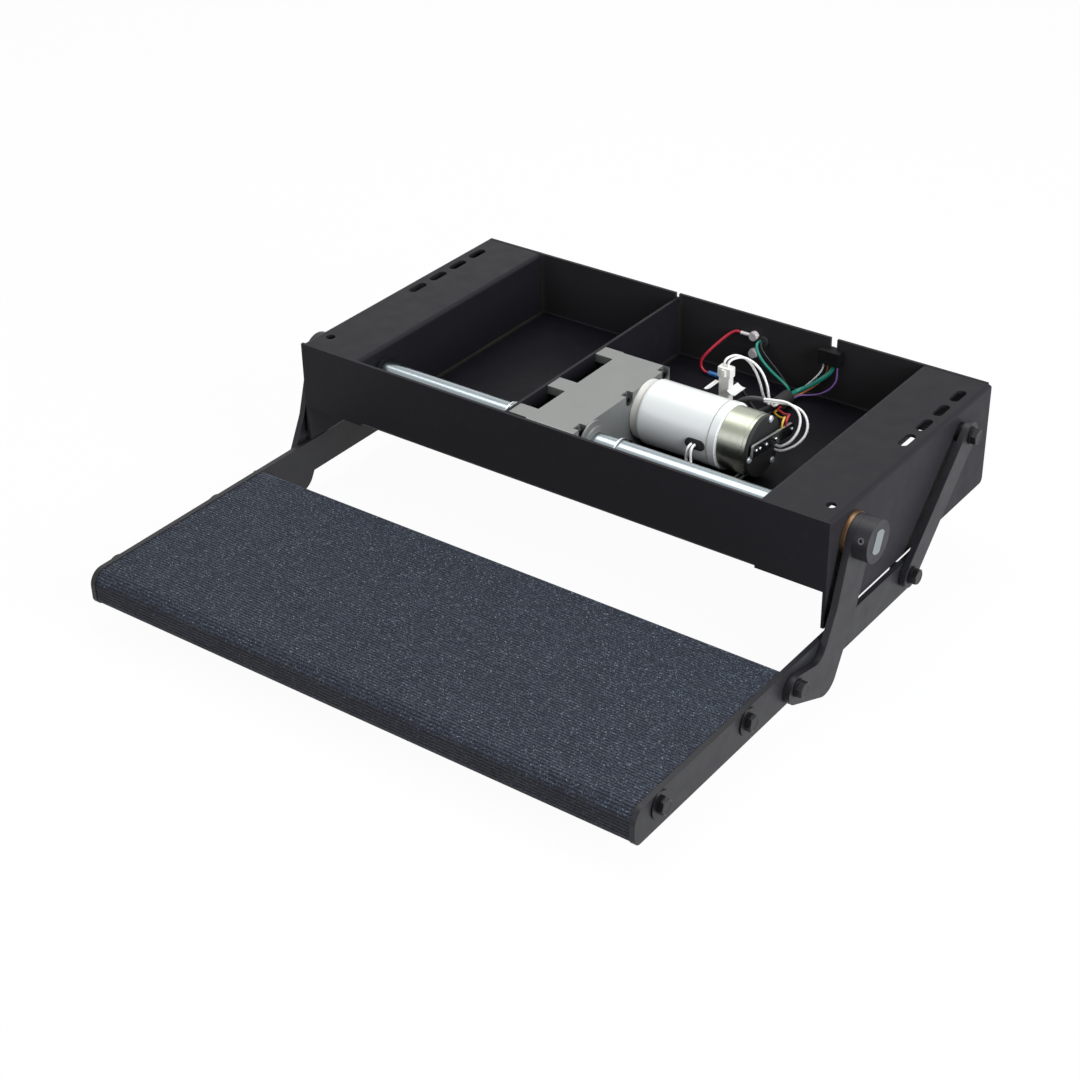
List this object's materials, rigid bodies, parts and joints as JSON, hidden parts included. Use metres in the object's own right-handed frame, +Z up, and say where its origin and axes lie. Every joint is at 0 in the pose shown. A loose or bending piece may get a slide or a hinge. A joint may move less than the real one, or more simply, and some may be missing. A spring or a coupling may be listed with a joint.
{
  "type": "electric caravan step",
  "caption": "Electric swing-out entry step: a tray housing with a geared motor and cross shaft, side arms and links that carry a ribbed tread and keep it level.",
  "frame": {"origin": "midway between the two front mounting holes, on the top face of the flanges", "axes": "+X to the right seen from the front, +Y towards the vehicle's middle (back of the step), +Z up; the step is swung out at rest"},
  "size_m": [0.6032, 0.574, 0.157],
  "materials": {
    "black_coat": "satin black powder coat on folded sheet steel",
    "arm_coat": "satin black powder coat on flat steel",
    "tread_coat": "dark blue-grey grit coat on a ribbed aluminium extrusion",
    "zinc": "bright zinc plating",
    "inner_steel": "oiled bare steel",
    "bronze": "oiled sintered bronze",
    "black_steel": "black oxide",
    "cast_alloy": "bare die casting",
    "white_enamel": "glossy white wrap",
    "black_plastic": "moulded black plastic",
    "black_rubber": "black rubber",
    "nylon": "natural white nylon",
    "white_wire": "white wire insulation",
    "teal_wire": "green wire insulation",
    "red_wire": "red wire insulation",
    "black_wire": "black wire insulation",
    "violet_wire": "coloured signal wire insulation",
    "blue_nylon": "blue nylon crimp sleeve"
  },
  "bodies": {
    "housing": {"tray": "black_coat", "left_channel": "black_coat", "right_channel": "black_coat", "divider": "black_coat", "bronze_bushes": "bronze", "wall_bushes": "black_plastic", "gear_case": "cast_alloy", "case_cover": "cast_alloy", "cover_screws": "black_steel", "case_bolts": "zinc", "motor_flange": "cast_alloy", "motor_can": "white_enamel", "plated_section": "zinc", "motor_end_cap": "black_plastic", "cap_screws": "zinc", "terminal_board": "black_plastic", "board_rivets": "zinc", "lead_grommet": "black_rubber", "plug_upper": "nylon", "plug_lower": "nylon", "loom_connector": "black_plastic", "wall_grommet": "black_rubber", "earth_screws": "zinc", "ring_lug": "zinc", "crimp_splice": "blue_nylon", "loom_wrap": "black_plastic", "motor_leads": "white_wire", "plug_leads": "white_wire", "earth_leads": "teal_wire", "loom_cable": "teal_wire", "red_lead": "red_wire", "return_lead": "black_wire", "sleeved_cable": "black_wire", "cap_leads": "white_wire", "board_leads": "red_wire", "signal_leads": "violet_wire", "link_bolts": "black_steel", "link_washers": "black_steel", "link_nuts": "black_steel", "link_spacers": "arm_coat"},
    "drive_shaft_group": {"drive_shaft": "zinc", "shaft_collar": "zinc", "shaft_rings": "zinc", "left_front_arm": "arm_coat", "right_front_arm": "arm_coat", "arm_hubs": "arm_coat", "grub_screw": "zinc", "drive_lever": "inner_steel"},
    "connecting_rod_group": {"connecting_rod": "inner_steel"},
    "crank_group": {"crank": "inner_steel"},
    "left_link_group": {"left_rear_link": "arm_coat"},
    "right_link_group": {"right_rear_link": "arm_coat"},
    "tread_group": {"tread_board": "tread_coat", "left_tread_arm": "arm_coat", "right_tread_arm": "arm_coat", "tread_bolts": "black_steel", "pivot_bolts": "black_steel", "tread_washers": "black_steel", "pivot_nuts": "black_steel"}
  },
  "joints": [
    {"name": "step_swing", "type": "hinge", "parent": "housing", "child": "drive_shaft_group", "pos_m": [0, 0.011, -0.027], "axis": [1, 0, 0], "range_deg": [0, 91]},
    {"name": "tread_level", "type": "hinge", "parent": "drive_shaft_group", "child": "tread_group", "pos_m": [0, -0.084, -0.121], "axis": [1, 0, 0], "range_deg": [-91, 0]},
    {"name": "left_link_swing", "type": "hinge", "parent": "housing", "child": "left_link_group", "pos_m": [0, 0.204, -0.0225], "axis": [1, 0, 0], "range_deg": [0, 91]},
    {"name": "right_link_swing", "type": "hinge", "parent": "housing", "child": "right_link_group", "pos_m": [0, 0.204, -0.0225], "axis": [1, 0, 0], "range_deg": [0, 91]},
    {"name": "rod_swing", "type": "hinge", "parent": "drive_shaft_group", "child": "connecting_rod_group", "pos_m": [0, 0.02023, -0.04474], "axis": [1, 0, 0], "range_deg": [-91, 0]},
    {"name": "crank_swing", "type": "hinge", "parent": "housing", "child": "crank_group", "pos_m": [0, 0.099, -0.0315], "axis": [1, 0, 0], "range_deg": [0, 91]}
  ],
  "couplings": [
    {"joint": "tread_level", "follows": "step_swing", "ratio": -1},
    {"joint": "left_link_swing", "follows": "step_swing", "ratio": 1},
    {"joint": "right_link_swing", "follows": "step_swing", "ratio": 1},
    {"joint": "rod_swing", "follows": "step_swing", "ratio": -1},
    {"joint": "crank_swing", "follows": "step_swing", "ratio": 1}
  ]
}
